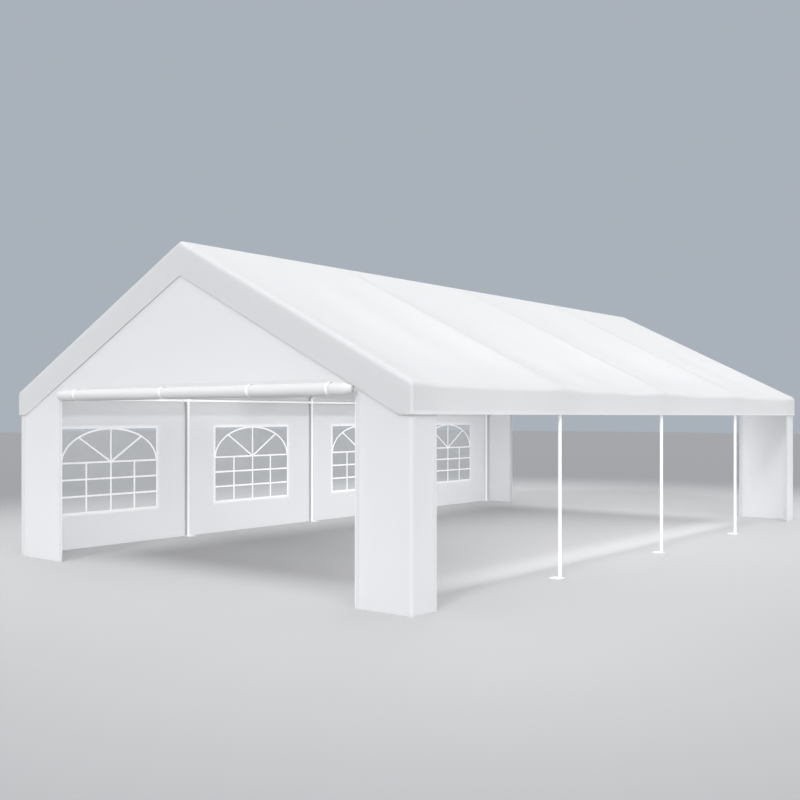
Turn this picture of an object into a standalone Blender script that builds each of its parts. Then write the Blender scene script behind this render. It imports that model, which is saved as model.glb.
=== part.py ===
"""Marquee tent: a white tube frame of five bows, one roof cover with a valance all round,
two gable ends with a rolled-up door each, and one long side closed by window walls.

X runs across the tent, Y along it and Z up. The front gable faces -Y, the window walls are
on the left at -X, and the open long side is on the right at +X. The origin is on the ground
in the middle of the tent.
"""
import math

import bmesh
import bpy
from mathutils import Matrix, Vector

# Driving dimensions, in metres
FRAME_WIDTH = 6.00
BAY_LENGTH = 2.54
BAYS = 4
EAVE_HEIGHT = 2.00
RIDGE_HEIGHT = 3.52
VALANCE_DROP = 0.285
GABLE_BAND_DROP = 0.36

TUBE_DIAMETER = 0.038
SOCKET_DIAMETER = 0.046
ARM_DIAMETER = 0.045
HUB_DIAMETER = 0.044
FITTING_ARM = 0.13
ARM_ROOT = 0.012
EAVE_TUBE_DROP = 0.065
LEG_SOCKET_DEPTH = 0.10
FOOT_SIZE = 0.12
FOOT_THICKNESS = 0.005

CLOTH_THICKNESS = 0.008
VALANCE_CLEARANCE = 0.010
WALL_TOP_CLEARANCE = 0.020

DOOR_WIDTH = 4.54
DOOR_OFFSET = 0.13
DOOR_HEAD_DROP = 0.08
ROLL_DIAMETER = 0.135
ROLL_CENTRE_RISE = 0.025
ROLL_SHIFT = 0.04
ROLL_TAPER = 0.06
ROLL_END_CLEARANCE = 0.014

CORNER_FLAP_WIDTH = 0.35
WINDOW_WIDTH = 1.50
WINDOW_HEIGHT = 1.10
WINDOW_SILL = 0.45
PANE_THICKNESS = 0.003

# Gap between pieces that touch, and how far a cutter runs past what it cuts
SEAT_GAP = 0.0003
CUT_MARGIN = 0.05
TUBE_SIDES = 16
ROLL_SIDES = 20
SMOOTH_ANGLE = math.radians(40)

# Derived sizes and places
TUBE_RADIUS = TUBE_DIAMETER / 2
SOCKET_RADIUS = SOCKET_DIAMETER / 2
ARM_RADIUS = ARM_DIAMETER / 2
HUB_RADIUS = HUB_DIAMETER / 2
LEG_X = FRAME_WIDTH / 2
END_Y = BAY_LENGTH * BAYS / 2
BOW_POSITIONS = [BAY_LENGTH * step - END_Y for step in range(BAYS + 1)]

WALL_INSET = SOCKET_RADIUS + SEAT_GAP
WALL_REACH = WALL_INSET + CLOTH_THICKNESS
COVER_INSET = WALL_REACH + VALANCE_CLEARANCE
COVER_REACH = COVER_INSET + CLOTH_THICKNESS
COVER_X = LEG_X + COVER_REACH
COVER_Y = END_Y + COVER_REACH

PITCH = math.atan2(RIDGE_HEIGHT - EAVE_HEIGHT, COVER_X)
FALL = math.tan(PITCH)
RAFTER_DEPTH = (CLOTH_THICKNESS + SEAT_GAP + ARM_RADIUS) / math.cos(PITCH)
RIDGE_TUBE_HEIGHT = RIDGE_HEIGHT - RAFTER_DEPTH
KNEE_HEIGHT = RIDGE_TUBE_HEIGHT - LEG_X * FALL
EAVE_TUBE_HEIGHT = KNEE_HEIGHT - EAVE_TUBE_DROP
LEG_TOP = EAVE_TUBE_HEIGHT - LEG_SOCKET_DEPTH
WALL_TOP = EAVE_HEIGHT - WALL_TOP_CLEARANCE
HEM_HEIGHT = EAVE_HEIGHT - VALANCE_DROP
DOOR_HEIGHT = EAVE_HEIGHT - DOOR_HEAD_DROP


def clear_scene():
    """Remove every object that the new file starts with."""
    for item in list(bpy.data.objects):
        bpy.data.objects.remove(item)


def material(name, colour, roughness, metallic=0.0, alpha=1.0):
    """Make a Principled material in one plain finish."""
    finish = bpy.data.materials.new(name)
    finish.use_nodes = True
    shader = finish.node_tree.nodes["Principled BSDF"]
    shader.inputs["Base Color"].default_value = (*colour, 1.0)
    shader.inputs["Roughness"].default_value = roughness
    shader.inputs["Metallic"].default_value = metallic
    shader.inputs["Alpha"].default_value = alpha
    return finish


def new_object(name, shape, finish, location=(0, 0, 0)):
    """Turn a bmesh into a named object whose round sides are smooth."""
    bmesh.ops.recalc_face_normals(shape, faces=shape.faces)
    mesh = bpy.data.meshes.new(name)
    shape.to_mesh(mesh)
    shape.free()
    mesh.materials.append(finish)
    piece = bpy.data.objects.new(name, mesh)
    piece.location = location
    bpy.context.collection.objects.link(piece)
    smooth(piece)
    return piece


def smooth(piece):
    """Shade a piece smooth, with its real edges sharp."""
    piece.data.shade_smooth()
    piece.data.set_sharp_from_angle(angle=SMOOTH_ANGLE)


def tube(name, start, end, radius, finish):
    """A round bar from one point to another."""
    run = Vector(end) - Vector(start)
    shape = bmesh.new()
    bmesh.ops.create_cone(shape, cap_ends=True, segments=TUBE_SIDES, radius1=radius,
                          radius2=radius, depth=run.length)
    piece = new_object(name, shape, finish, (Vector(start) + Vector(end)) / 2)
    piece.rotation_euler = run.to_track_quat("Z", "Y").to_euler()
    return piece


def block(name, low, high, finish):
    """A box between two corners."""
    size = Vector(high) - Vector(low)
    shape = bmesh.new()
    bmesh.ops.create_cube(shape, size=1.0, matrix=Matrix.Diagonal((*size, 1.0)))
    return new_object(name, shape, finish, (Vector(low) + Vector(high)) / 2)


def prism(name, outline, front, back, finish):
    """An outline of (x, z) points, carried along Y from front to back."""
    shape = bmesh.new()
    corners = [shape.verts.new((x, front, z)) for x, z in outline]
    face = shape.faces.new(corners)
    swept = bmesh.ops.extrude_face_region(shape, geom=[face])
    moved = [item for item in swept["geom"] if isinstance(item, bmesh.types.BMVert)]
    bmesh.ops.translate(shape, verts=moved, vec=(0, back - front, 0))
    return new_object(name, shape, finish)


def combine(base, others, operation):
    """Join others to a piece, or cut them from it, and remove them."""
    for other in others:
        step = base.modifiers.new(operation.lower(), "BOOLEAN")
        step.operation = operation
        step.solver = "EXACT"
        step.object = other
    bpy.context.view_layer.update()
    evaluated = base.evaluated_get(bpy.context.evaluated_depsgraph_get())
    result = bpy.data.meshes.new_from_object(evaluated)
    base.modifiers.clear()
    base.data = result
    result.name = base.name
    for other in others:
        bpy.data.objects.remove(other)
    smooth(base)
    return base


def slope_height(x, depth=0.0):
    """Height of the roof at x, at a depth measured square to the cover's outer face."""
    return RIDGE_HEIGHT - depth / math.cos(PITCH) - abs(x) * FALL


def slope_direction(side):
    """Unit vector up the roof slope on one side, from the eave towards the ridge."""
    return Vector((-side * math.cos(PITCH), 0, math.sin(PITCH)))


def hub_ends(y, reach):
    """Both ends along Y of a fitting at y, cut short where it faces a gable wall."""
    front = y - (SOCKET_RADIUS if y == BOW_POSITIONS[0] else reach)
    back = y + (SOCKET_RADIUS if y == BOW_POSITIONS[-1] else reach)
    return front, back


def add_ridge_line(steel):
    """The ridge tube, with a fitting on each bow that holds the two rafters."""
    line = tube("ridge_line", (0, -END_Y, RIDGE_TUBE_HEIGHT), (0, END_Y, RIDGE_TUBE_HEIGHT),
                TUBE_RADIUS, steel)
    sleeves = []
    for y in BOW_POSITIONS:
        centre = Vector((0, y, RIDGE_TUBE_HEIGHT))
        front, back = hub_ends(y, FITTING_ARM)
        sleeves.append(tube("hub", (0, front, RIDGE_TUBE_HEIGHT), (0, back, RIDGE_TUBE_HEIGHT),
                            HUB_RADIUS, steel))
        for side in (-1, 1):
            sleeves.append(tube("arm", centre, centre - slope_direction(side) * FITTING_ARM,
                                ARM_RADIUS, steel))
    return combine(line, sleeves, "UNION")


def add_eave_line(name, side, steel):
    """One eave tube, with a fitting on each bow that holds a leg and a rafter."""
    x = side * LEG_X
    line = tube(name, (x, -END_Y, EAVE_TUBE_HEIGHT), (x, END_Y, EAVE_TUBE_HEIGHT),
                TUBE_RADIUS, steel)
    sleeves = []
    for y in BOW_POSITIONS:
        knee = Vector((x, y, KNEE_HEIGHT))
        front, back = hub_ends(y, FITTING_ARM)
        up = slope_direction(side)
        sleeves.append(tube("socket", (x, y, LEG_TOP), knee, SOCKET_RADIUS, steel))
        sleeves.append(tube("arm", knee - up * ARM_ROOT, knee + up * FITTING_ARM,
                            ARM_RADIUS, steel))
        sleeves.append(tube("hub", (x, front, EAVE_TUBE_HEIGHT), (x, back, EAVE_TUBE_HEIGHT),
                            HUB_RADIUS, steel))
    return combine(line, sleeves, "UNION")


def add_rafter(name, side, y, steel):
    """One rafter tube, between the arms of the ridge fitting and the eave fitting."""
    up = slope_direction(side)
    ridge = Vector((0, y, RIDGE_TUBE_HEIGHT))
    knee = Vector((side * LEG_X, y, KNEE_HEIGHT))
    return tube(name, knee + up * (FITTING_ARM + SEAT_GAP), ridge - up * (FITTING_ARM + SEAT_GAP),
                TUBE_RADIUS, steel)


def add_leg(name, side, y, steel):
    """One leg on its foot plate, which stays inside the walls."""
    x = side * LEG_X
    inner_x = x - side * (FOOT_SIZE - SOCKET_RADIUS)
    outer_x = x + side * SOCKET_RADIUS
    front, back = hub_ends(y, FOOT_SIZE / 2)
    if y == BOW_POSITIONS[0]:
        back = front + FOOT_SIZE
    if y == BOW_POSITIONS[-1]:
        front = back - FOOT_SIZE
    leg = tube(name, (x, y, FOOT_THICKNESS / 2), (x, y, LEG_TOP - SEAT_GAP), TUBE_RADIUS, steel)
    foot = block("foot", (min(inner_x, outer_x), front, 0),
                 (max(inner_x, outer_x), back, FOOT_THICKNESS), steel)
    return combine(leg, [foot], "UNION")


def house_outline(x, depth, bottom):
    """The roof's section: a wall at each side, and two slopes at a depth under the cover."""
    eave = slope_height(x, depth)
    return [(-x, bottom), (x, bottom), (x, eave), (0, slope_height(0, depth)), (-x, eave)]


def add_roof_cover(cloth):
    """The roof cover in one piece: two slopes, long valances and a band along each gable."""
    cover = prism("roof_cover", house_outline(COVER_X, 0, HEM_HEIGHT), -COVER_Y, COVER_Y, cloth)
    inner_x = COVER_X - CLOTH_THICKNESS
    inner_y = COVER_Y - CLOTH_THICKNESS
    hollow = prism("hollow", house_outline(inner_x, CLOTH_THICKNESS, HEM_HEIGHT - CUT_MARGIN),
                   -inner_y, inner_y, cloth)
    band_apex = RIDGE_HEIGHT - GABLE_BAND_DROP
    low = HEM_HEIGHT - CUT_MARGIN
    reach = (band_apex - low) / FALL
    gable = prism("gable", [(-reach, low), (reach, low), (0, band_apex)],
                  -COVER_Y - CUT_MARGIN, COVER_Y + CUT_MARGIN, cloth)
    return combine(cover, [hollow, gable], "DIFFERENCE")


def gable_faces(end):
    """Both Y faces of a gable wall, low value first."""
    inner = end * (END_Y + WALL_INSET)
    outer = end * (END_Y + WALL_REACH)
    return min(inner, outer), max(inner, outer)


def add_door_roll(name, end, door_middle, cloth):
    """A door rolled up against the gable, a little to the right of its doorway.

    The layers slip past each other, so both ends taper. Where the cover's band comes down
    to the roll, the taper starts early enough to pass in front of it.
    """
    radius = ROLL_DIAMETER / 2
    end_radius = radius - (COVER_REACH - WALL_REACH) - ROLL_END_CLEARANCE
    height = DOOR_HEIGHT + ROLL_CENTRE_RISE
    left = door_middle - end * ROLL_SHIFT - DOOR_WIDTH / 2
    right = left + DOOR_WIDTH
    under_band = (RIDGE_HEIGHT - GABLE_BAND_DROP - height - radius) / FALL
    profile = [(left, end_radius), (max(left + ROLL_TAPER, -under_band), radius),
               (min(right - ROLL_TAPER, under_band), radius), (right, end_radius)]
    shape = bmesh.new()
    points = [shape.verts.new((x, 0, size)) for x, size in profile]
    edges = [shape.edges.new(pair) for pair in zip(points, points[1:])]
    bmesh.ops.spin(shape, geom=[*points, *edges], cent=(0, 0, 0), axis=(1, 0, 0),
                   angle=math.tau, steps=ROLL_SIDES, use_merge=True)
    bmesh.ops.holes_fill(shape, edges=shape.edges, sides=ROLL_SIDES)
    new_object(name, shape, cloth, (0, end * (END_Y + WALL_REACH + SEAT_GAP + radius), height))


def add_gable(word, end, cloth):
    """One gable end: the top piece, a panel on each side of the doorway, and the rolled door.

    Seen from outside, the doorway sits a little to the right of the middle.
    """
    front, back = gable_faces(end)
    wall_x = LEG_X + WALL_REACH
    top_outline = house_outline(wall_x, CLOTH_THICKNESS + SEAT_GAP, DOOR_HEIGHT + SEAT_GAP)
    prism(f"{word}_gable_top", top_outline, front, back, cloth)
    door_middle = -end * DOOR_OFFSET
    door_left = door_middle - DOOR_WIDTH / 2
    door_right = door_middle + DOOR_WIDTH / 2
    block(f"{word}_left_panel", (-wall_x, front, 0), (door_left, back, DOOR_HEIGHT), cloth)
    block(f"{word}_right_panel", (door_right, front, 0), (wall_x, back, DOOR_HEIGHT), cloth)
    add_door_roll(f"{word}_door_roll", end, door_middle, cloth)


def side_faces(side):
    """Both X faces of a wall on a long side, low value first."""
    inner = side * (LEG_X + WALL_INSET)
    outer = side * (LEG_X + WALL_REACH)
    return min(inner, outer), max(inner, outer)


def add_window_wall(number, cloth, clear_sheet):
    """The wall of one bay on the left, with its window opening and the clear sheet in it."""
    front, back = BOW_POSITIONS[number - 1], BOW_POSITIONS[number]
    middle = (front + back) / 2
    corner = END_Y + WALL_INSET
    start = -corner + SEAT_GAP if number == 1 else front + SEAT_GAP / 2
    stop = corner - SEAT_GAP if number == BAYS else back - SEAT_GAP / 2
    inner, outer = side_faces(-1)
    wall = block(f"side_wall_{number}", (inner, start, 0), (outer, stop, WALL_TOP), cloth)
    half = WINDOW_WIDTH / 2
    head = WINDOW_SILL + WINDOW_HEIGHT
    opening = block("opening", (inner - CUT_MARGIN, middle - half, WINDOW_SILL),
                    (outer + CUT_MARGIN, middle + half, head), cloth)
    combine(wall, [opening], "DIFFERENCE")
    pane_x = (inner + outer) / 2
    block(f"side_window_{number}",
          (pane_x - PANE_THICKNESS / 2, middle - half + SEAT_GAP, WINDOW_SILL + SEAT_GAP),
          (pane_x + PANE_THICKNESS / 2, middle + half - SEAT_GAP, head - SEAT_GAP), clear_sheet)


def add_corner_flap(name, end, cloth):
    """The short wall that turns the corner of a gable onto the open long side."""
    inner, outer = side_faces(1)
    corner = end * (END_Y + WALL_INSET - SEAT_GAP)
    edge = corner - end * CORNER_FLAP_WIDTH
    block(name, (inner, min(corner, edge), 0), (outer, max(corner, edge), WALL_TOP), cloth)


def build():
    """Model the whole tent."""
    clear_scene()
    steel = material("white_powder_coat", (0.86, 0.87, 0.88), 0.32)
    cloth = material("white_cover_cloth", (0.90, 0.90, 0.91), 0.60)
    clear_sheet = material("clear_window_sheet", (0.80, 0.83, 0.84), 0.12, alpha=0.30)

    add_ridge_line(steel)
    for word, side in (("left", -1), ("right", 1)):
        add_eave_line(f"{word}_eave_line", side, steel)
        for number, y in enumerate(BOW_POSITIONS, start=1):
            add_rafter(f"{word}_rafter_{number}", side, y, steel)
            add_leg(f"{word}_leg_{number}", side, y, steel)

    add_roof_cover(cloth)
    for word, end in (("front", -1), ("back", 1)):
        add_gable(word, end, cloth)
        add_corner_flap(f"{word}_corner_flap", end, cloth)
    for number in range(1, BAYS + 1):
        add_window_wall(number, cloth, clear_sheet)


build()
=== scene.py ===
"""Looks of the marquee tent: its cover, gables, rolled doors, window walls and frame.

Every cloth is cut flat, in metres, and then hung: a place function takes a point of the flat
cloth to where it hangs, and the flat place stays in the cloth's UV map for its weave.
X runs across the tent, Y along it and Z up. The front gable faces -Y.
"""
import math

import bmesh
import bpy
from mathutils import Matrix, Vector, noise


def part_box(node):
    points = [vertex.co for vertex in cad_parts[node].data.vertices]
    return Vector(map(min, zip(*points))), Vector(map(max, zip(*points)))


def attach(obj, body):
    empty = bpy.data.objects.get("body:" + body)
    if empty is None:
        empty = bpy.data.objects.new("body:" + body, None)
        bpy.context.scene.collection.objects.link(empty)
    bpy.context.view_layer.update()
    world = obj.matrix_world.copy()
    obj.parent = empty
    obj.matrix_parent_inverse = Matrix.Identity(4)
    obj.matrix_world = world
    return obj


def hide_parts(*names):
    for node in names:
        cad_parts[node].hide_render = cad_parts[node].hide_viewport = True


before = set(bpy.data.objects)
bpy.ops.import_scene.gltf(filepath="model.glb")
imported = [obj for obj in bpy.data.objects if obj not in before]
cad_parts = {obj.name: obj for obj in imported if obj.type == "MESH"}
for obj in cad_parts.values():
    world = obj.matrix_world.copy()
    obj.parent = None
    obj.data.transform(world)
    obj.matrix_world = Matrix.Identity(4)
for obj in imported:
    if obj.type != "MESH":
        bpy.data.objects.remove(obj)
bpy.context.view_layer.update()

# The photograph's camera, as an 800 pixel square sees it
PICTURE_SIDE = 800
FOCAL_PIXELS = 1000.4
HORIZON_ROW = 416.5
CAMERA_PLACE = (8.229, -11.785, 1.698)
CAMERA_YAW = math.radians(38.57)
SENSOR_WIDTH = 36.0
VIEW_DISTANCE = 300

# Studio light: an even sky, what the camera sees behind the tent, and the floor's half width
SKY_LIGHT = (0.975, 0.987, 1.007, 1.0)
BACKDROP = (0.40, 0.44, 0.49, 1.0)
FLOOR_REACH = 90

# Two suns: the way each shines, its strength and its width in degrees
SUNS = {"key": ((-0.25, 0.75, -0.55), 1.05, 12),
        "fill": ((-0.75, 0.45, -0.40), 1.34, 60)}

# Lit panels inside the tent: the middle of each, the way it faces, its size and its power
PANELS = {"side_panel": ((2.6, 0, 1.0), (-1, 0, 0), (8.2, 1.0), 120.0),
          "wall_panel": ((-2.72, -3.1, 1.85), (-1, 0, 0), (3.2, 0.1), 1.6),
          "roof_panel": ((0, 1.0, 2.6), (0, 0, -1), (2.2, 6.2), 125.0)}

# The frame's own sizes, in metres
FRAME_WIDTH = 6.00
VALANCE_DROP = 0.285
GABLE_BAND_DROP = 0.36
BAYS = 4
LEG_X = FRAME_WIDTH / 2
COVER_LOW, COVER_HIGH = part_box("roof_cover")
COVER_X, COVER_Y = COVER_HIGH.x, COVER_HIGH.y
RIDGE_Z, HEM_Z = COVER_HIGH.z, COVER_LOW.z
EAVE_Z = HEM_Z + VALANCE_DROP
PITCH = math.atan2(RIDGE_Z - EAVE_Z, COVER_X)
SLOPE = math.hypot(COVER_X, RIDGE_Z - EAVE_Z)
BAND = GABLE_BAND_DROP * math.cos(PITCH)
BOWS = [sum(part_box(f"right_rafter_{number}"), Vector()).y / 2 for number in range(1, BAYS + 2)]
BAY_LENGTH = BOWS[1] - BOWS[0]
END_Y = BOWS[-1]
WALL_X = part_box("front_corner_flap")[1].x
WALL_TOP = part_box("side_wall_2")[1].z
GABLE_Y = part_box("back_left_panel")[1].y
DOOR_LOW_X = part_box("front_left_panel")[1].x
DOOR_HIGH_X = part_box("front_right_panel")[0].x
DOOR_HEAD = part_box("front_left_panel")[1].z
ROLL_LOW, ROLL_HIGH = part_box("front_door_roll")
FLAP_EDGE_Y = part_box("back_corner_flap")[0].y
WINDOW_LOW, WINDOW_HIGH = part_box("side_window_2")
EAVE_TUBE_Z = 1.9251

# Cloth: its thickness, and the lift and thickness of what is sewn onto it
CLOTH_THICKNESS = 0.002
PATCH_LIFT = 0.0012
PATCH_THICKNESS = 0.0018
INSIDE_LIFT = -0.0023
HEM_WIDTH = 0.035
SEAM_WIDTH = 0.05
BOW_BAND_WIDTH = 0.14
BOW_BAND_THICKNESS = 0.0012
COATING_SHINE = 0.4

# How finely each cloth is ruled before it is hung
COVER_CELL = 0.05
WALL_CELL = 0.04
GABLE_CELL = 0.05
FOLD_CELL = 0.0125
RIDGE_CELL = 0.02
CORNER_CELL = 0.01
TAPE_CELL = 0.05
LONG_CELL = 0.06

# How the roof cover hangs. HOLLOW_SKEW puts the deepest place between two bows nearer to the
# eave, and the two values after it make the hollow fuller there. A pattern says how fast the
# cover's unevenness changes two ways, and where in the noise it starts.
RIDGE_ROUND = 0.03
EAVE_ROUND = 0.045
RAKE_ROUND = 0.055
CORNER_TUCK = 0.011
CORNER_DROP = 0.016
BOW_PULL = 0.052
BOW_PULL_REACH = 0.42
BOW_ROUND = 0.05
BOW_FINE = 0.30
SPAN_SAG = 0.030
HOLLOW_SKEW = 1.6
HOLLOW_AT_RIDGE = 0.8
HOLLOW_FALL = 0.45
SLOPE_DRIFT = 0.45
EAVE_SAG_SHARE = 0.32
HANG_CURVE = 1.5
VALANCE_WAVE = 0.009
BAND_LEAN = -0.0105
BAND_WAVE = 0.15
CORNER_CALM = 0.30
ON_LINE = 1e-6
DRIFT_PATTERN = (1.5, 0.5, 2.2)
VALANCE_PATTERN = (1.3, 4.0, 0.5)
BAND_PATTERN = (1.2, 3.0, 0.9)

# How the walls hang. WIDE_FOLDS and NARROW_FOLDS say how fast the folds change across and up.
CORNER_RADIUS = WALL_X - LEG_X
WALL_FOLD = 0.010
FOLD_AT_TOP = 0.2
WIDE_FOLDS = (1.1, 0.3)
NARROW_FOLDS = (3.6, 0.25)
NARROW_START = 7.0
GABLE_START = 1.7
SIDE_START = 3.1
SIDE_FOLD_SHARE = 0.45
LEG_CLEAR = 0.03
CORNER_FOLD_REACH = 0.12
BOW_FOLD_REACH = 0.15
GABLE_BILLOW = -0.004
UNDER_COVER = 0.022
CORNER_TAPE_INSET = 0.045
CORNER_TAPE_END = 0.05
ZIP_WIDTH = 0.008
ZIP_LIFT = 0.003
ZIP_THICKNESS = 0.005

# Rolled doors
ROLL_RADIUS = 0.0645
ROLL_CORE = 0.010
ROLL_END = 0.036
ROLL_TAPER = (0.06, 0.13)
ROLL_THICKNESS = 0.0015
ROLL_END_GAP = 0.004
ROLL_WALL_GAP = 0.0012
ROLL_DROOP = 0.005
DENT_SHARE = 0.04
DENT_ALONG = 2.2
DENT_ROUND = 0.8
PINCH_SHARE = 0.07
PINCH_REACH = 0.05
ROLL_SIDES = 24
ROLL_CELL = 0.07
ROLL_END_CELLS = (0.015, 0.022)
DOOR_CELL = 0.02
DOOR_HEIGHT = 1.92
DOOR_SEAM_Z = 2.040
UNDER_BAND = 0.004

# The ties of the rolled doors
TIE_WIDTH = 0.032
TIE_THICKNESS = 0.0014
TIE_SQUEEZE = 0.955
TIE_LIFT = 0.002
TIE_INSIDE_GAP = 0.004
TIE_PLACES = (-1.73, -0.19, 1.13, 2.16)

# Windows: their bars, their borders and their clear sheets
BAR_WIDTH = 0.022
BAR_LIFT = 0.0012
BAR_THICKNESS = 0.0036
BAR_CELL = 0.04
ARCH_SPRING = 1.10
SPOKE_SHARE = 0.27
FRAME_BORDER = 0.025
FRAME_OVERLAP = 0.012
BORDER_LIFT = 0.0015
BORDER_THICKNESS = 0.005
FILM_LIFT = -0.0006
FILM_THICKNESS = 0.0008
SEAM_GAP = 0.001


def clamp(value):
    """A value kept between 0 and 1."""
    return max(0.0, min(1.0, value))


def ease(value):
    """A smooth step from 0 to 1."""
    share = clamp(value)
    return share * share * (3 - 2 * share)


def uneven(first, second, pattern):
    """Smooth noise between -1 and 1 over two places, the same in each run.

    pattern says how fast it changes along each of them, and where in the noise it starts.
    """
    first_scale, second_scale, start = pattern
    return noise.noise(Vector((first * first_scale, second * second_scale, start)))


def ruled(start, *stretches):
    """Lines across a cloth: from its first edge through stretches of (end, cell size)."""
    lines = [start]
    for end, cell in stretches:
        begin = lines[-1]
        count = max(1, round(abs(end - begin) / cell))
        lines += [begin + (end - begin) * step / count for step in range(1, count + 1)]
    return lines


def cut_cloth(columns, rows):
    """A flat cloth ruled at these columns and rows, its flat place kept as its UV map."""
    cloth = bmesh.new()
    across, up = len(columns) - 1, len(rows) - 1
    bmesh.ops.create_grid(cloth, x_segments=across, y_segments=up, size=0.5)
    for point in cloth.verts:
        column = round((point.co.x + 0.5) * across)
        row = round((point.co.y + 0.5) * up)
        point.co = (columns[column], rows[row], 0)
    pattern = cloth.loops.layers.uv.new("cloth")
    for face in cloth.faces:
        for corner in face.loops:
            corner[pattern].uv = corner.vert.co.xy
    return cloth


def cut_hole(cloth, low, high):
    """Cut a rectangle out of a flat cloth, along lines that it is ruled at."""
    inside = []
    for face in cloth.faces:
        middle = face.calc_center_median()
        if low[0] < middle.x < high[0] and low[1] < middle.y < high[1]:
            inside.append(face)
    bmesh.ops.delete(cloth, geom=inside, context="FACES")


def trim(cloth, point, outward, faces=None):
    """Cut a flat cloth, or some of its faces, along a line, and drop the outward side."""
    kept = list(cloth.faces) if faces is None else faces
    # Each corner and edge once, in the same order in each run
    around = dict.fromkeys(part for face in kept for part in (*face.verts, *face.edges))
    bmesh.ops.bisect_plane(cloth, geom=[*kept, *around], dist=1e-6, plane_co=(*point, 0),
                           plane_no=(*outward, 0), clear_outer=True)


def hang(cloth, place):
    """Move every point of a flat cloth to where it hangs."""
    for point in cloth.verts:
        point.co = place(point.co.x, point.co.y)


def lifted(place, lift):
    """The same hanging, held off the cloth by this much on its outer side."""
    step = 0.004

    def raised(across, up):
        first = place(across + step, up) - place(across - step, up)
        second = place(across, up + step) - place(across, up - step)
        return place(across, up) + first.cross(second).normalized() * lift

    return raised


def add_piece(name, shape, finish, thickness=0.0):
    """Turn a bmesh into a piece that rides on the tent, thickened inwards if asked."""
    for face in shape.faces:
        face.smooth = True
    for edge in shape.edges:
        edge.smooth = not edge.is_boundary
    mesh = bpy.data.meshes.new(name)
    shape.to_mesh(mesh)
    shape.free()
    mesh.materials.append(finish)
    piece = bpy.data.objects.new(name, mesh)
    bpy.context.scene.collection.objects.link(piece)
    if thickness:
        wall = piece.modifiers.new("thickness", "SOLIDIFY")
        wall.thickness = thickness
        wall.offset = -1
        wall.use_even_offset = True
    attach(piece, "root")
    return piece


def strip_lines(width):
    """The lines along a sewn strip: its two edges and its middle."""
    return ruled(-width / 2, (width / 2, width / 2))


def add_strip(shape, columns, width, place):
    """Hang a narrow flat strip and add it to a shape made of such strips."""
    strip = cut_cloth(columns, ruled(-width / 2, (width / 2, width)))
    hang(strip, place)
    kept = bpy.data.meshes.new("strip")
    strip.to_mesh(kept)
    strip.free()
    shape.from_mesh(kept)
    bpy.data.meshes.remove(kept)


def sew_on(name, columns, rows, place, finish, lift=PATCH_LIFT, thickness=PATCH_THICKNESS):
    """A strip or patch sewn onto a hanging cloth."""
    patch = cut_cloth(columns, rows)
    hang(patch, lifted(place, lift))
    return add_piece(name, patch, finish, thickness)


class Shade:
    """A number that varies over a surface. Arithmetic on it adds nodes to its material."""

    def __init__(self, paint, socket):
        self.paint = paint
        self.socket = socket

    def made(self, operation, first, second=0.0):
        return self.paint.add("ShaderNodeMath", {"operation": operation}, {0: first, 1: second})

    def __add__(self, other):
        return self.made("ADD", self, other)

    def __radd__(self, other):
        return self.made("ADD", other, self)

    def __sub__(self, other):
        return self.made("SUBTRACT", self, other)

    def __rsub__(self, other):
        return self.made("SUBTRACT", other, self)

    def __mul__(self, other):
        return self.made("MULTIPLY", self, other)

    def __rmul__(self, other):
        return self.made("MULTIPLY", other, self)

    def __truediv__(self, other):
        return self.made("DIVIDE", self, other)

    def __pow__(self, other):
        return self.made("POWER", self, other)

    def __abs__(self):
        return self.made("ABSOLUTE", self)

    def wave(self):
        return self.made("SINE", self)

    def above(self, level):
        return self.made("GREATER_THAN", self, level)

    def at_least(self, least):
        return self.made("MAXIMUM", self, least)

    def held(self):
        """The number kept between 0 and 1."""
        return self.made("MINIMUM", self, 1.0).at_least(0.0)

    def eased(self):
        """The number kept between 0 and 1, with soft ends."""
        share = self.held()
        return share * share * (3 - 2 * share)


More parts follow.
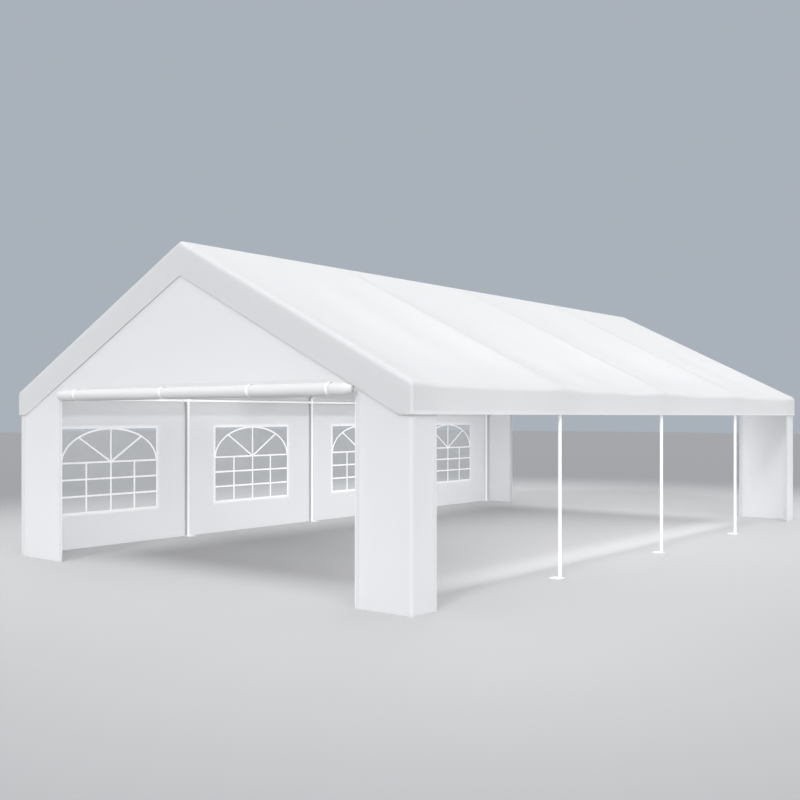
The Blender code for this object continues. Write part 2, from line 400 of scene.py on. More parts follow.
class Paint:
    """A material in the making, with its main shader at hand."""

    def __init__(self, name, colour, roughness, fixed=None):
        self.material = bpy.data.materials.new(name)
        self.material.use_nodes = True
        self.tree = self.material.node_tree
        self.shader = self.tree.nodes["Principled BSDF"]
        self.material.diffuse_color = (*colour, 1.0)
        self.feed("Base Color", (*colour, 1.0))
        self.feed("Roughness", roughness)
        for socket, value in (fixed or {}).items():
            self.feed(socket, value)

    def add(self, kind, settings=None, inputs=None, outputs=(0,)):
        """Add a node of a type: its settings first, then its inputs' values or links."""
        node = self.tree.nodes.new(kind)
        for name, value in (settings or {}).items():
            setattr(node, name, value)
        for name, value in (inputs or {}).items():
            self.join(node.inputs[name], value)
        made = [Shade(self, node.outputs[output]) for output in outputs]
        return made[0] if len(made) == 1 else made

    def join(self, socket, value):
        if isinstance(value, Shade):
            self.tree.links.new(value.socket, socket)
        else:
            socket.default_value = value

    def feed(self, socket, value):
        """Set or link a socket of the main shader."""
        self.join(self.shader.inputs[socket], value)

    def let_light_through(self, share):
        """Let a share of the light pass through the cloth to its other side."""
        passed_light = (0.93, 0.94, 0.95, 1.0)
        through = self.add("ShaderNodeBsdfTranslucent", inputs={"Color": passed_light})
        surface = Shade(self, self.shader.outputs[0])
        mixed = self.add("ShaderNodeMixShader", inputs={0: share, 1: surface, 2: through})
        self.join(self.tree.nodes["Material Output"].inputs["Surface"], mixed)

    def places(self):
        """The surface's own place in the tent's frame."""
        return self.add("ShaderNodeTexCoord", outputs=("Object",))

    def parted(self, places):
        """The three numbers of a place."""
        return self.add("ShaderNodeSeparateXYZ", inputs={0: places}, outputs=("X", "Y", "Z"))

    def flat_places(self):
        """The two flat coordinates of a cloth, in metres."""
        pattern = self.add("ShaderNodeUVMap", {"uv_map": "cloth"})
        return self.add("ShaderNodeSeparateXYZ", inputs={0: pattern}, outputs=("X", "Y"))

    def clouds(self, places, scale, detail=2.0):
        """Soft noise from 0 to 1."""
        return self.add("ShaderNodeTexNoise",
                        inputs={"Vector": places, "Scale": scale, "Detail": detail})

    def stretched(self, places, scale):
        """Places scaled by a different amount along each axis."""
        return self.add("ShaderNodeMapping", inputs={"Vector": places, "Scale": scale})

    def blend(self, share, first, second):
        """A colour between two others."""
        first_colour, second_colour, mixed_colour = 6, 7, 2
        first, second = (part if isinstance(part, Shade) else (*part, 1.0)
                         for part in (first, second))
        return self.add("ShaderNodeMix", {"data_type": "RGBA"},
                        {0: share, first_colour: first, second_colour: second},
                        outputs=(mixed_colour,))

    def bump(self, height, distance, strength=1.0, under=None):
        """A relief from a height, on top of another relief if there is one."""
        inputs = {"Height": height, "Distance": distance, "Strength": strength}
        if under is not None:
            inputs["Normal"] = under
        return self.add("ShaderNodeBump", inputs=inputs)


def woven_cloth(name, clean, painted_band_shade=None, glow=0.5, roughness=0.52):
    """Coated woven cloth: fine crossing tapes, soft creases and slightly uneven white.

    Where the cover's bands hang over the gable walls the cloth lies double; there the colour is
    darkened as painted shade for the light that the double layer holds back, on the band and on
    the gable wall just under it, fading out across the band's foot.
    """
    weave_pitch, weave_depth, weave_strength = 0.0045, 0.00012, 0.5
    crease_stretch, crease_scale, crease_detail = (1.0, 1.0, 0.45), 5.0, 3.0
    crease_depth, crease_strength, crease_sheen = 0.004, 0.35, 0.12
    patch_scale, patch_tone = 0.9, 0.975
    wall_lead, foot_fade = 0.03, 0.09
    soiled = tuple(patch_tone * part for part in clean)
    paint = Paint(name, clean, roughness, {"Specular IOR Level": COATING_SHINE})
    across, up = paint.flat_places()
    turn = 2 * math.pi / weave_pitch
    weave = (across * turn).wave() * (up * turn).wave()
    places = paint.places()
    patches = paint.clouds(places, patch_scale)
    creases = paint.clouds(paint.stretched(places, crease_stretch), crease_scale, crease_detail)
    white = paint.blend(patches, clean, soiled)
    # Painted shade where a band hangs over a gable: a darker colour on the band and on the wall
    # under it, fading out across the band's foot.
    if painted_band_shade:
        out, along, height = (abs(part) for part in paint.parted(places))
        foot = (RIDGE_Z - GABLE_BAND_DROP - out * math.tan(PITCH)).at_least(HEM_Z)
        over_wall = ((along - END_Y + wall_lead) / (COVER_Y - END_Y)).eased()
        above_foot = 0.5 + (height - foot) / (2 * foot_fade)
        white = paint.blend(over_wall * above_foot.eased(), white, painted_band_shade)
    paint.feed("Base Color", white)
    paint.feed("Roughness", roughness - crease_sheen / 2 + crease_sheen * creases)
    soft = paint.bump(creases, crease_depth, crease_strength)
    paint.feed("Normal", paint.bump(weave, weave_depth, weave_strength, soft))
    paint.let_light_through(glow)
    return paint.material


def stitched_tape(name, colour, width):
    """A folded-over edge of the cloth with a row of stitches near each side."""
    stitch_inset, stitch_width, stitch_pitch = 0.005, 0.0012, 0.006
    stitch_level, stitch_tone = -0.4, 0.86
    rib_pitch, rib_share = 0.002, 0.1
    relief, relief_strength = 0.0006, 0.6
    roughness = 0.55
    paint = Paint(name, colour, roughness, {"Specular IOR Level": COATING_SHINE})
    along, across = paint.flat_places()
    from_row = abs(abs(across) - (width / 2 - stitch_inset))
    row = 1 - (from_row / stitch_width).held()
    stitches = row * (along * (2 * math.pi / stitch_pitch)).wave().above(stitch_level)
    shaded = tuple(stitch_tone * part for part in colour)
    paint.feed("Base Color", paint.blend(stitches, colour, shaded))
    ribs = (along * (2 * math.pi / rib_pitch)).wave()
    paint.feed("Normal", paint.bump(stitches - ribs * rib_share, relief, relief_strength))
    return paint.material


def painted_steel(name, colour):
    """White powder coat: a fine orange peel and slightly uneven gloss."""
    peel_scale, peel_depth, peel_strength = 380.0, 0.0004, 0.4
    patch_scale, patch_tone = 3.0, 0.95
    smoothest, rougher = 0.29, 0.10
    coat = {"Coat Weight": 0.15, "Coat Roughness": 0.25}
    paint = Paint(name, colour, smoothest + rougher / 2, coat)
    places = paint.places()
    peel = paint.clouds(places, peel_scale, 1.0)
    patches = paint.clouds(places, patch_scale)
    worn = tuple(patch_tone * part for part in colour)
    paint.feed("Base Color", paint.blend(patches, colour, worn))
    paint.feed("Roughness", smoothest + rougher * patches)
    paint.feed("Normal", paint.bump(peel, peel_depth, peel_strength))
    return paint.material


def zinc_steel(name):
    """Bright zinc on bolts, with a slightly uneven tone and sheen."""
    bright, dull = (0.78, 0.79, 0.81), (0.62, 0.63, 0.66)
    patch_scale, patch_detail = 60.0, 3.0
    smoothest, rougher = 0.24, 0.2
    paint = Paint(name, (0.72, 0.73, 0.75), roughness=0.32, fixed={"Metallic": 1.0})
    patches = paint.clouds(paint.places(), patch_scale, patch_detail)
    paint.feed("Base Color", paint.blend(patches, bright, dull))
    paint.feed("Roughness", smoothest + rougher * patches)
    return paint.material


def window_film(name):
    """Clear flexible sheet: see-through, glossy, with a faint haze and ripples."""
    haze_scale, haze_detail = 2.2, 3.0
    clearest, cloudier = 0.04, 0.06
    ripple_stretch, ripple_scale = (1.0, 1.0, 0.5), 4.0
    ripple_depth, ripple_strength = 0.01, 0.5
    paint = Paint(name, (0.80, 0.84, 0.86), roughness=0.08, fixed={"Alpha": 0.16})
    places = paint.places()
    haze = paint.clouds(places, haze_scale, haze_detail)
    ripples = paint.clouds(paint.stretched(places, ripple_stretch), ripple_scale)
    paint.feed("Alpha", clearest + cloudier * haze)
    paint.feed("Normal", paint.bump(ripples, ripple_depth, ripple_strength))
    return paint.material


def soft_corner(distance, reach):
    """A distance from a fold, eased so that the fold is round over this reach."""
    if distance > reach:
        return distance
    return (distance * distance + reach * reach) / (2 * reach)


def soft_ramp(distance, reach):
    """How far past a fold a point is, eased over this reach on both sides of it."""
    if distance < -reach:
        return 0.0
    if distance > reach:
        return distance
    return (distance + reach) ** 2 / (4 * reach)


def bay_sag(along):
    """How deep the cover sags between bows: pulled up over each bow, hollow between."""
    if abs(along) > END_Y:
        return 0.0
    nearest = min(abs(along - bow) for bow in BOWS)
    off_bow = math.hypot(nearest, BOW_ROUND) - BOW_ROUND
    pulled = BOW_PULL * (1 - math.exp(-off_bow / BOW_PULL_REACH))
    share = nearest / BAY_LENGTH
    return pulled + SPAN_SAG * 4 * share * (1 - share)


def roof_point(across, along):
    """Where a point of the roof cover hangs.

    across is measured from the ridge, down the slope and then down the valance. along is
    measured from the middle of the tent, and past the gable edge it runs down the band.
    """
    side, end = math.copysign(1, across), math.copysign(1, along)
    out, length = abs(across), abs(along)
    hanging = max(0.0, out - SLOPE) / VALANCE_DROP
    banding = max(0.0, length - COVER_Y) / BAND
    if out > SLOPE - ON_LINE and length > COVER_Y - ON_LINE:
        top = EAVE_Z - CORNER_DROP
        return Vector((side * (COVER_X - CORNER_TUCK), end * (COVER_Y - CORNER_TUCK),
                       top - max(hanging, banding) * (top - HEM_Z)))
    over = soft_ramp(out - SLOPE, EAVE_ROUND)
    past = soft_ramp(length - COVER_Y, RAKE_ROUND)
    run = out - over
    height = RIDGE_Z - math.sin(PITCH) * soft_corner(run, RIDGE_ROUND) - over
    room = min(GABLE_BAND_DROP, height - HEM_Z)
    place = Vector((side * run * math.cos(PITCH), end * (length - past),
                    height - past * room / BAND))
    share = clamp(run / SLOPE)
    fullness = HOLLOW_AT_RIDGE - HOLLOW_FALL * share
    hollow = max(0.0, math.sin(math.pi * share ** HOLLOW_SKEW)) ** fullness
    hollow = max(hollow, EAVE_SAG_SHARE * ease(share * 2 - 1)) * (1 - clamp(hanging))
    drift = SLOPE_DRIFT * uneven(along, side * run, DRIFT_PATTERN)
    sag = bay_sag(along) * (1 + drift) * hollow
    place -= Vector((side * math.sin(PITCH), 0, math.cos(PITCH))) * sag
    if hanging > 0:
        calm = ease((COVER_Y - length) / CORNER_CALM)
        wave = VALANCE_WAVE * uneven(along, side, VALANCE_PATTERN)
        place.x += side * calm * hanging ** HANG_CURVE * wave
    if banding > 0:
        calm = ease((SLOPE - out) / CORNER_CALM)
        lean = BAND_LEAN * (1 + BAND_WAVE * uneven(across, end, BAND_PATTERN))
        place.y += end * calm * banding ** HANG_CURVE * lean
    return place


def add_roof_cover(cloth, tape):
    """The cover in one continuous sheet, with its hems and the bands over the bows."""
    doubles_apart = 0.0004
    side_hem_end, end_hem_end = 0.02, 0.05
    folds = ruled(0, (EAVE_ROUND, FOLD_CELL), (VALANCE_DROP, WALL_CELL))
    past_eave = [SLOPE + fold for fold in folds[1:]]
    past_rake = [COVER_Y + BAND * fold / VALANCE_DROP for fold in folds[1:]]
    half_width = ruled(0, (RIDGE_ROUND, RIDGE_CELL), (SLOPE - EAVE_ROUND, LONG_CELL),
                       (SLOPE, FOLD_CELL))
    half_width += past_eave
    middle = ruled(BOWS[0])
    for first, second in zip(BOWS, BOWS[1:]):
        middle += ruled(first, (first + BOW_FINE, COVER_CELL / 2), (second - BOW_FINE, COVER_CELL),
                        (second, COVER_CELL / 2))[1:]
    rake = ruled(END_Y, (COVER_Y, FOLD_CELL))[1:] + past_rake
    columns = [-line for line in reversed(half_width[1:])] + half_width
    rows = [-line for line in reversed(rake)] + middle + rake
    cover = cut_cloth(columns, rows)
    far_x, far_y = columns[-1], rows[-1]
    for side in (-1, 1):
        for end in (-1, 1):
            low = (min(side * SLOPE, side * far_x), min(end * COVER_Y, end * far_y))
            high = (max(side * SLOPE, side * far_x), max(end * COVER_Y, end * far_y))
            cut_hole(cover, low, high)
    hang(cover, roof_point)
    bmesh.ops.remove_doubles(cover, verts=cover.verts, dist=doubles_apart)
    piece = add_piece("roof_cover_cloth", cover, cloth, CLOTH_THICKNESS)
    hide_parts("roof_cover")

    reach = COVER_Y - side_hem_end
    for word, side in (("left", -1), ("right", 1)):
        def valance(along, across, side=side):
            down = SLOPE + VALANCE_DROP - HEM_WIDTH / 2
            return roof_point(side * down + across, side * -along)
        sew_on(f"{word}_valance_hem", ruled(-reach, (reach, LONG_CELL)),
                           strip_lines(HEM_WIDTH), valance, tape)
    reach = SLOPE - end_hem_end
    for word, end in (("front", -1), ("back", 1)):
        def band(along, across, end=end):
            return roof_point(-end * along, end * (COVER_Y + BAND - HEM_WIDTH / 2) + across)
        sew_on(f"{word}_band_hem", ruled(-reach, (0, LONG_CELL), (reach, LONG_CELL)),
                           strip_lines(HEM_WIDTH), band, tape, INSIDE_LIFT)
    reach = SLOPE - EAVE_ROUND
    half = BOW_BAND_WIDTH / 2
    for number, bow in enumerate(BOWS[1:-1], start=2):
        sew_on(f"bow_band_{number}", ruled(-reach, (0, LONG_CELL), (reach, LONG_CELL)),
                           ruled(bow - half, (bow, half / 2), (bow + half, half / 2)),
                           roof_point, cloth, INSIDE_LIFT, BOW_BAND_THICKNESS)


def upright_fold(across, up, top, start):
    """How far a hanging wall stands out of its plane: soft folds that grow to its foot."""
    low = 1 - clamp(up / top)
    wide = uneven(across, up, (*WIDE_FOLDS, start))
    narrow = uneven(across, up, (*NARROW_FOLDS, start + NARROW_START))
    return WALL_FOLD * (FOLD_AT_TOP + (1 - FOLD_AT_TOP) * low) * (wide + narrow) / 2


def gable_point(end):
    """The place function of a gable wall: across from its middle, as seen from outside.

    Past each corner leg the wall turns the corner and runs back along the side.
    """
    billow_skew = 0.6
    flattened = 0.05

    def place(across, up):
        hand = math.copysign(1, across)
        beyond = max(0.0, abs(across) - LEG_X)
        turn = min(beyond / CORNER_RADIUS, math.pi / 2)
        straight = beyond - turn * CORNER_RADIUS
        out_x = min(abs(across), LEG_X) + CORNER_RADIUS * math.sin(turn)
        out_y = GABLE_Y - CORNER_RADIUS * (1 - math.cos(turn)) - straight
        calm = ease((abs(LEG_X - abs(across)) - LEG_CLEAR) / CORNER_FOLD_REACH)
        fold = calm * upright_fold(across, up, DOOR_HEAD, GABLE_START * end)
        above = clamp((up - DOOR_HEAD) / (RIDGE_Z - DOOR_HEAD))
        flat_end = 1 - clamp(beyond / flattened)
        billow = GABLE_BILLOW * math.sin(math.pi * above ** billow_skew) * flat_end
        outward = Vector((hand * math.sin(turn), -math.cos(turn)))
        local = Vector((hand * out_x, -out_y)) + outward * (fold + billow)
        return Vector((-end * local.x, -end * local.y, up))

    return place


def add_gable(word, end, flap_hand, cloth, tape, teeth):
    """One gable end in one sheet, with a flap round one corner, hems and door zips."""
    place = gable_point(end)
    edge = LEG_X + CORNER_RADIUS * math.pi / 2
    flap = END_Y - FLAP_EDGE_Y
    reach = {flap_hand: edge + flap, -flap_hand: edge}
    columns = ruled(-reach[-1], (-edge, WALL_CELL), (-LEG_X, CORNER_CELL),
                    (DOOR_LOW_X, WALL_CELL), (DOOR_HIGH_X, WALL_CELL), (LEG_X, WALL_CELL),
                    (edge, CORNER_CELL), (reach[1], WALL_CELL))
    columns = sorted(set(columns))
    rows = ruled(0, (DOOR_HEAD, GABLE_CELL), (RIDGE_Z, GABLE_CELL))
    wall = cut_cloth(columns, rows)
    cut_hole(wall, (DOOR_LOW_X, 0), (DOOR_HIGH_X, DOOR_HEAD))
    gable = [face for face in wall.faces if abs(face.calc_center_median().x) < edge]
    under_cover = UNDER_COVER / math.cos(PITCH)
    for hand in (-1, 1):
        trim(wall, (0, RIDGE_Z - under_cover), (hand * math.sin(PITCH), math.cos(PITCH)),
             [face for face in gable if face.is_valid and hand * face.calc_center_median().x > 0])
    trim(wall, (0, WALL_TOP), (0, 1),
         [face for face in wall.faces if abs(face.calc_center_median().x) > edge])
    flat_area = sum(face.calc_area() for face in wall.faces)
    hang(wall, place)
    piece = add_piece(f"{word}_gable_cloth", wall, cloth, CLOTH_THICKNESS)
    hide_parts(f"{word}_gable_top", f"{word}_left_panel", f"{word}_right_panel",
                f"{word}_corner_flap")

    def upright_strip(strip, at, top, width, finish, *stand):
        """A strip sewn up the wall round a line at this distance from the wall's middle."""
        def along_wall(up, across):
            return place(at - across, up)
        return sew_on(f"{word}_{strip}", ruled(0.0, (top, TAPE_CELL)), strip_lines(width),
                      along_wall, finish, *stand)

    for side, hand, at in (("left", -1, DOOR_LOW_X), ("right", 1, DOOR_HIGH_X)):
        upright_strip(f"door_{side}_tape", at + hand * SEAM_WIDTH / 2, DOOR_HEAD,
                                  SEAM_WIDTH, tape)
        upright_strip(f"door_{side}_zip", at + hand * ZIP_WIDTH / 2, DOOR_HEAD,
                                  ZIP_WIDTH, teeth, ZIP_LIFT, ZIP_THICKNESS)
    upright_strip("corner_tape", -flap_hand * (LEG_X - CORNER_TAPE_INSET),
                              WALL_TOP - CORNER_TAPE_END, SEAM_WIDTH, tape)
    upright_strip("flap_hem", flap_hand * (reach[flap_hand] - HEM_WIDTH / 2),
                              WALL_TOP, HEM_WIDTH, tape)
    reach[-1] + reach[1]


def side_point(across, up):
    """Where a point of the window walls hangs: across runs from the back to the front."""
    calm = ease((min(abs(across - bow) for bow in BOWS) - LEG_CLEAR) / BOW_FOLD_REACH)
    fold = SIDE_FOLD_SHARE * calm * upright_fold(across, up, WALL_TOP, SIDE_START)
    return Vector((-WALL_X - fold, -across, up))


def add_window_wall(number, cloth, film, edging, tape):
    """One bay of the window walls: the wall, the window's border, its film and its bars."""
    front, back = BOWS[number - 1], BOWS[number]
    middle = -(front + back) / 2
    width = WINDOW_HIGH.y - WINDOW_LOW.y
    low, high = WINDOW_LOW.z, WINDOW_HIGH.z
    left, right = middle - width / 2, middle + width / 2
    columns = ruled(-back + SEAM_GAP / 2, (left, WALL_CELL), (right, WALL_CELL),
                    (-front - SEAM_GAP / 2, WALL_CELL))
    rows = ruled(0, (low, WALL_CELL), (high, WALL_CELL), (WALL_TOP, WALL_CELL))
    wall = cut_cloth(columns, rows)
    cut_hole(wall, (left, low), (right, high))
    flat_area = sum(face.calc_area() for face in wall.faces)
    hang(wall, side_point)
    piece = add_piece(f"side_wall_cloth_{number}", wall, cloth, CLOTH_THICKNESS)
    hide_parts(f"side_wall_{number}")

    def border_lines(first, last):
        """The lines of the border along one way: its outer and inner edges on both sides."""
        return ruled(first - FRAME_BORDER, (first + FRAME_OVERLAP, FRAME_BORDER),
                     (last - FRAME_OVERLAP, LONG_CELL), (last + FRAME_BORDER, FRAME_BORDER))

    border = cut_cloth(border_lines(left, right), border_lines(low, high))
    cut_hole(border, (left + FRAME_OVERLAP, low + FRAME_OVERLAP),
             (right - FRAME_OVERLAP, high - FRAME_OVERLAP))
    hang(border, lifted(side_point, BORDER_LIFT))
    edging_piece = add_piece(f"window_border_{number}", border, edging,
                             BORDER_THICKNESS)
    columns[-1] - columns[0]

    pane = cut_cloth(ruled(left, (right, LONG_CELL)), ruled(low, (high, LONG_CELL)))
    hang(pane, lifted(side_point, FILM_LIFT))
    pane_piece = add_piece(f"window_film_{number}", pane, film, FILM_THICKNESS)
    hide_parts(f"side_window_{number}")
    bars = add_window_bars(number, middle, width, low, high, tape)


def add_window_bars(number, middle, width, low, high, finish):
    """A window's white bars: an arch with a fan of spokes over three rows of panes."""
    arch_length = 2.0
    step = 0.001
    rows = 3
    bars = bmesh.new()
    half = width / 2 - BAR_WIDTH / 2
    rise = high - BAR_WIDTH / 2 - ARCH_SPRING
    row_height = (ARCH_SPRING - low) / rows

    def arch(share):
        angle = math.pi * share
        return Vector((middle + half * math.cos(angle), ARCH_SPRING + rise * math.sin(angle)))

    def line(start, stop):
        return lambda share: Vector(start).lerp(Vector(stop), share)

    hub = Vector((middle, ARCH_SPRING))
    left, right = middle - width / 2, middle + width / 2
    paths = [(arch, arch_length), (line((middle, low), (middle, high)), high - low)]
    for share in (SPOKE_SHARE, 1 - SPOKE_SHARE):
        tip = arch(share)
        paths.append((line(hub, tip), (tip - hub).length))
    for row in range(1, rows + 1):
        level = low + row_height * row
        paths.append((line((left, level), (right, level)), width))
    for quarter in (-0.25, 0.25):
        at = middle + quarter * width
        paths.append((line((at, low), (at, ARCH_SPRING)), ARCH_SPRING - low))

    laid = lifted(side_point, BAR_LIFT)
    for path, length in paths:
        def lay(share, across, path=path):
            ahead = (path(share + step) - path(share - step)).normalized()
            point = path(share) + Vector((-ahead.y, ahead.x)) * across
            return laid(point.x, point.y)
        add_strip(bars, ruled(0, (1, BAR_CELL / length)), BAR_WIDTH, lay)
    return add_piece(f"window_bars_{number}", bars, finish, BAR_THICKNESS)


def add_wall_seams(tape):
    """The zipped seams between the window walls."""
    for number, bow in enumerate(BOWS[1:-1], start=1):
        def seam(up, across, bow=bow):
            return side_point(-bow - across, up)
        sew_on(f"side_seam_{number}", ruled(0.0, (WALL_TOP, TAPE_CELL)), strip_lines(SEAM_WIDTH),
               seam, tape)


def add_door_roll(word, end, cloth, tape):
    """A door rolled up under the gable and held by four ties."""
    middle_z = (ROLL_LOW.z + ROLL_HIGH.z) / 2
    low_x, high_x = ROLL_LOW.x + ROLL_END_GAP, ROLL_HIGH.x - ROLL_END_GAP
    near_low, near_high = ROLL_TAPER
    wall_y = GABLE_Y + ROLL_WALL_GAP
    upper = DOOR_SEAM_Z - middle_z
    rolled = DOOR_HEIGHT - upper
    pitch = math.pi * (ROLL_RADIUS ** 2 - ROLL_CORE ** 2) / rolled
    turns = (ROLL_RADIUS - ROLL_CORE) / pitch
    steps = round(turns * ROLL_SIDES)
    rows = ruled(-upper, (0, DOOR_CELL))
    for step in range(1, steps + 1):
        radius = ROLL_RADIUS - (ROLL_RADIUS - ROLL_CORE) * step / steps
        rows.append(math.pi * (ROLL_RADIUS ** 2 - radius ** 2) / pitch)

    def place(across, down):
        pinch = max(math.exp(-((across - tie) / PINCH_REACH) ** 2) for tie in TIE_PLACES)
        droop = ROLL_DROOP * (1 - pinch)
        full = min(ease((across - low_x) / near_low), ease((high_x - across) / near_high))
        taper = (ROLL_END + (ROLL_RADIUS - ROLL_END) * full) / ROLL_RADIUS
        if down <= 0:
            lean = ROLL_RADIUS * (1 - taper) * (1 + down / upper)
            local = Vector((-wall_y - lean, middle_z - down - droop * (1 + down / upper)))
        else:
            radius = math.sqrt(max(ROLL_RADIUS ** 2 - pitch * down / math.pi, 0))
            angle = (ROLL_RADIUS - radius) * 2 * math.pi / pitch
            dent = DENT_SHARE * noise.noise(Vector((
                across * DENT_ALONG, math.cos(angle) * DENT_ROUND, math.sin(angle) * DENT_ROUND)))
            size = radius * taper * (1 - PINCH_SHARE * pinch + dent)
            local = Vector((-(wall_y + ROLL_RADIUS) + size * math.cos(angle),
                            middle_z - droop - size * math.sin(angle)))
        return Vector((-end * across, -end * local.x, local.y))

    low_cell, high_cell = ROLL_END_CELLS
    columns = ruled(low_x, (low_x + near_low, low_cell), (high_x - near_high, ROLL_CELL),
                    (high_x, high_cell))
    door = cut_cloth(columns, rows)
    band_foot = middle_z - (RIDGE_Z - GABLE_BAND_DROP - UNDER_BAND)
    trim(door, (0, band_foot), (math.sin(PITCH), -math.cos(PITCH)))
    hang(door, place)
    bmesh.ops.reverse_faces(door, faces=door.faces)
    piece = add_piece(f"{word}_door_rolled", door, cloth, ROLL_THICKNESS)
    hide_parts(f"{word}_door_roll")
    ties = add_door_ties(word, end, wall_y, middle_z, tape)


def add_door_ties(word, end, wall_y, middle_z, finish):
    """Webbing ties: from the gable over the roll, under it and up behind the gable."""
    first_angle, swept, bends = 72, 226, 12
    top_rise, inner_low, inner_high = 0.046, -0.045, 0.055
    behind = -GABLE_Y + TIE_INSIDE_GAP
    radius = ROLL_RADIUS * TIE_SQUEEZE + TIE_LIFT
    centre = Vector((-(wall_y + ROLL_RADIUS), middle_z))
    route = [Vector((-wall_y - ROLL_THICKNESS, middle_z + top_rise))]
    for bend in range(bends + 1):
        angle = math.radians(first_angle + swept * bend / bends)
        route.append(centre + radius * Vector((math.cos(angle), math.sin(angle))))
    route.append(Vector((behind, middle_z + inner_low)))
    route.append(Vector((behind, middle_z + inner_high)))
    stations = [0.0]
    for first, second in zip(route, route[1:]):
        stations.append(stations[-1] + (second - first).length)

    def point_at(distance):
        for start, stop, first, second in zip(stations, stations[1:], route, route[1:]):
            if distance <= stop + ON_LINE:
                return first.lerp(second, (distance - start) / (stop - start))
        return route[-1]

    ties = bmesh.new()
    for tie in TIE_PLACES:
        def place(distance, across, tie=tie):
            spot = point_at(distance)
            return Vector((-end * (tie + across), -end * spot.x, spot.y))
        add_strip(ties, stations, TIE_WIDTH, place)
    return add_piece(f"{word}_door_ties", ties, finish, TIE_THICKNESS)


def add_bolt(shape, point, direction):
    """A washer and a rounded six-sided head, standing on a tube."""
    washer_radius, washer_height, washer_sides = 0.0085, 0.0016, 16
    head_foot, head_top, head_height, head_sides = 0.0062, 0.0058, 0.0048, 6
    rounding = 0.0006
    turned = Matrix.Translation(point) @ direction.to_track_quat("Z", "Y").to_matrix().to_4x4()
    washer_middle = Matrix.Translation((0, 0, washer_height / 2))
    head_middle = Matrix.Translation((0, 0, washer_height + head_height / 2))
    bmesh.ops.create_cone(shape, cap_ends=True, segments=washer_sides, radius1=washer_radius,
                          radius2=washer_radius, depth=washer_height,
                          matrix=turned @ washer_middle)
    head = bmesh.ops.create_cone(shape, cap_ends=True, segments=head_sides, radius1=head_foot,
                                 radius2=head_top, depth=head_height,
                                 matrix=turned @ head_middle)
    edges = {edge for vert in head["verts"] for edge in vert.link_edges}
    bmesh.ops.bevel(shape, geom=list(edges), offset=rounding, segments=2, profile=0.5,
                    affect="EDGES", material=-1)


def add_frame_bolts(zinc):
    """The bolts that hold each tube in its fitting.

    arm_bolt and socket_bolt are their distances from a fitting's middle. tube_depth is how
    deep the tubes' middles lie under the cover, square to its slope.
    """
    arm_bolt, socket_bolt = 0.095, 0.135
    socket_radius, arm_radius, hub_radius = 0.023, 0.0225, 0.022
    tube_depth = 0.0308
    ridge_z = RIDGE_Z - tube_depth / math.cos(PITCH)
    knee_z = ridge_z - LEG_X * math.tan(PITCH)
    for word, side in (("left", -1), ("right", 1)):
        bolts = bmesh.new()
        inward = Vector((-side, 0, 0))
        up_slope = Vector((-side * math.cos(PITCH), 0, math.sin(PITCH)))
        for bow in BOWS:
            socket = Vector((side * LEG_X, bow, knee_z - socket_bolt))
            add_bolt(bolts, socket + inward * socket_radius, inward)
            along = Vector((0, 1 if bow < 0 else -1, 0))
            for arm in (Vector((side * LEG_X, bow, knee_z)) + up_slope * arm_bolt,
                        Vector((0, bow, ridge_z)) - up_slope * arm_bolt):
                add_bolt(bolts, arm + along * arm_radius, along)
            for step in (-arm_bolt, arm_bolt):
                if abs(bow + step) < END_Y:
                    hub = Vector((side * LEG_X, bow + step, EAVE_TUBE_Z))
                    add_bolt(bolts, hub + inward * hub_radius, inward)
        add_piece(f"{word}_frame_bolts", bolts, zinc)


def paint_frame(steel):
    """Give every tube that still shows the powder coat."""
    for name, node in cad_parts.items():
        if not node.hide_render:
            node.data.materials.clear()
            node.data.materials.append(steel)


def floor_with_painted_light():
    """A floor with painted light: a painted pool of light round the tent that fades to grey
    further off, and painted shade beneath the tent.
    """
    # Painted light and shade: near is a painted pool of light round the tent, far the grey it
    # fades to, and the third colour painted shade beneath the tent.
    near, far, painted_shade_beneath = (0.50, 0.50, 0.505), (0.22, 0.225, 0.235), (0.27, 0.27, 0.275)
    fade_start, fade_length = 0.5, 9.0
    inner_fade = 1.3
    paint = Paint("floor_with_painted_light", near, roughness=0.8)
    out, along, _ = paint.parted(paint.places())
    past_side, past_end = abs(out) - LEG_X, abs(along) - END_Y
    outside = past_side.at_least(0.0) ** 2 + past_end.at_least(0.0) ** 2
    light_pool_falloff = ((outside ** 0.5 - fade_start) / fade_length).eased()
    inside = (-1 * past_side / inner_fade).eased() * (-1 * past_end / inner_fade).eased()
    paint.feed("Base Color", paint.blend(inside, paint.blend(light_pool_falloff, near, far), painted_shade_beneath))
    return paint.material


def add_floor():
    """The floor that the tent stands on."""
    ground = bmesh.new()
    bmesh.ops.create_grid(ground, x_segments=1, y_segments=1, size=FLOOR_REACH)
    mesh = bpy.data.meshes.new("floor")
    ground.to_mesh(mesh)
    ground.free()
    mesh.materials.append(floor_with_painted_light())
    floor = bpy.data.objects.new("floor", mesh)
    bpy.context.scene.collection.objects.link(floor)


def add_sky():
    """An even sky that lights the tent, with a greyer backdrop for the camera to see."""
    world = bpy.data.worlds.new("studio")
    bpy.context.scene.world = world
    bpy.context.scene.view_settings.view_transform = "Standard"
    world.use_nodes = True
    nodes, links = world.node_tree.nodes, world.node_tree.links
    glow = nodes["Background"]
    glow.inputs["Color"].default_value = SKY_LIGHT
    backdrop = nodes.new("ShaderNodeBackground")
    backdrop.inputs["Color"].default_value = BACKDROP
    which = nodes.new("ShaderNodeMixShader")
    links.new(nodes.new("ShaderNodeLightPath").outputs["Is Camera Ray"], which.inputs[0])
    links.new(glow.outputs[0], which.inputs[1])
    links.new(backdrop.outputs[0], which.inputs[2])
    links.new(which.outputs[0], nodes["World Output"].inputs["Surface"])


def add_light(lamp, towards):
    """Put a lamp into the scene, turned to shine this way."""
    light = bpy.data.objects.new(lamp.name, lamp)
    light.rotation_euler = Vector(towards).to_track_quat("-Z", "Y").to_euler()
    bpy.context.scene.collection.objects.link(light)
    return light


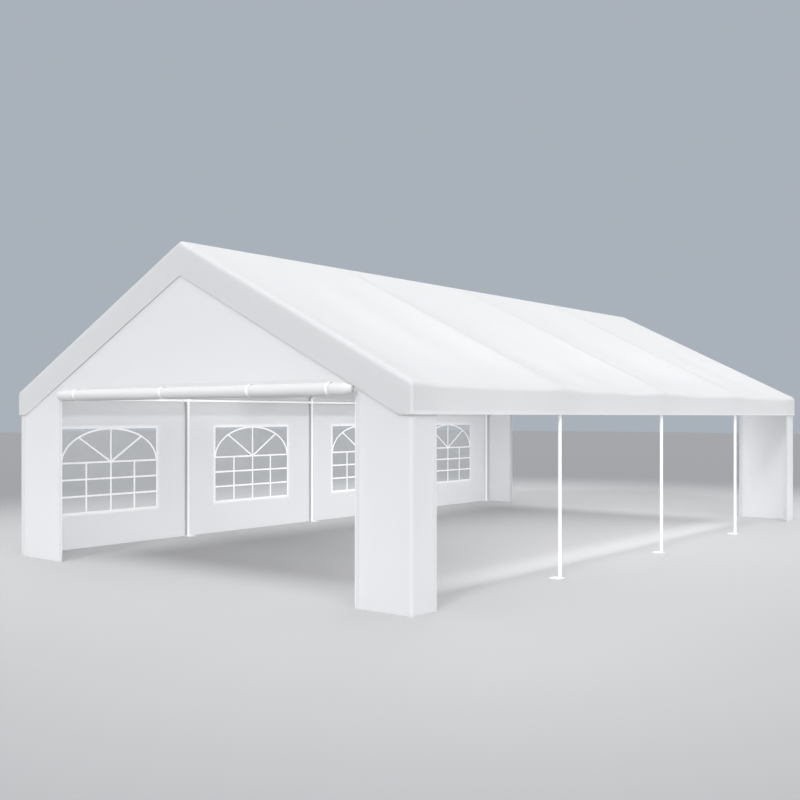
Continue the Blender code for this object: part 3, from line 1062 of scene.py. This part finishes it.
def add_lights():
    """Two soft suns, and dim panels under the roof for the light that cloth and floor pass on."""
    for name, (towards, strength, width) in SUNS.items():
        lamp = bpy.data.lights.new(name, "SUN")
        lamp.energy = strength
        lamp.angle = math.radians(width)
        add_light(lamp, towards)
    for name, (middle, towards, size, power) in PANELS.items():
        lamp = bpy.data.lights.new(name, "AREA")
        lamp.shape = "RECTANGLE"
        lamp.size, lamp.size_y = size
        lamp.energy = power
        panel = add_light(lamp, towards)
        panel.location = middle
        panel.visible_camera = False


def add_camera():
    """A level camera where the photograph was taken."""
    lens = bpy.data.cameras.new("camera")
    lens.sensor_width = SENSOR_WIDTH
    lens.lens = FOCAL_PIXELS * SENSOR_WIDTH / PICTURE_SIDE
    lens.shift_y = (HORIZON_ROW - PICTURE_SIDE / 2) / PICTURE_SIDE
    lens.clip_end = VIEW_DISTANCE
    camera = bpy.data.objects.new("camera", lens)
    camera.location = CAMERA_PLACE
    camera.rotation_euler = (math.pi / 2, 0, CAMERA_YAW)
    bpy.context.scene.collection.objects.link(camera)
    bpy.context.scene.camera = camera


def dress():
    """Make every piece of the tent."""
    # The cover and the walls get a darker colour as painted shade where the bands hang over the
    # gables.
    cover = woven_cloth("cover_cloth_white", (0.73, 0.73, 0.735), painted_band_shade=(0.70, 0.70, 0.707),
                        glow=0.26)
    walls = woven_cloth("wall_cloth_white", (0.815, 0.815, 0.82), painted_band_shade=(0.72, 0.72, 0.725))
    rolled = woven_cloth("rolled_cloth_white", (0.78, 0.78, 0.785), glow=0.2)
    tape = stitched_tape("stitched_tape_white", (0.65, 0.65, 0.66), HEM_WIDTH)
    seam_tape = stitched_tape("seam_tape_white", (0.62, 0.62, 0.63), SEAM_WIDTH)
    webbing = stitched_tape("webbing_white", (0.92, 0.92, 0.93), TIE_WIDTH)
    teeth = painted_steel("zip_plastic_white", (0.72, 0.73, 0.75))
    bar_strip = stitched_tape("window_bar_white", (0.94, 0.94, 0.94), BAR_WIDTH)
    border = stitched_tape("window_border_white", (0.86, 0.86, 0.87), FRAME_BORDER)
    steel = painted_steel("powder_coat_white", (0.94, 0.945, 0.95))
    film = window_film("window_film_clear")
    zinc = zinc_steel("bright_zinc")

    add_roof_cover(cover, tape)
    for word, end, flap_hand in (("front", -1, 1), ("back", 1, -1)):
        add_gable(word, end, flap_hand, walls, seam_tape, teeth)
        add_door_roll(word, end, rolled, webbing)
    for number in range(1, BAYS + 1):
        add_window_wall(number, walls, film, border, bar_strip)
    add_wall_seams(seam_tape)
    add_frame_bolts(zinc)
    paint_frame(steel)


dress()
add_floor()
add_sky()
add_lights()
add_camera()
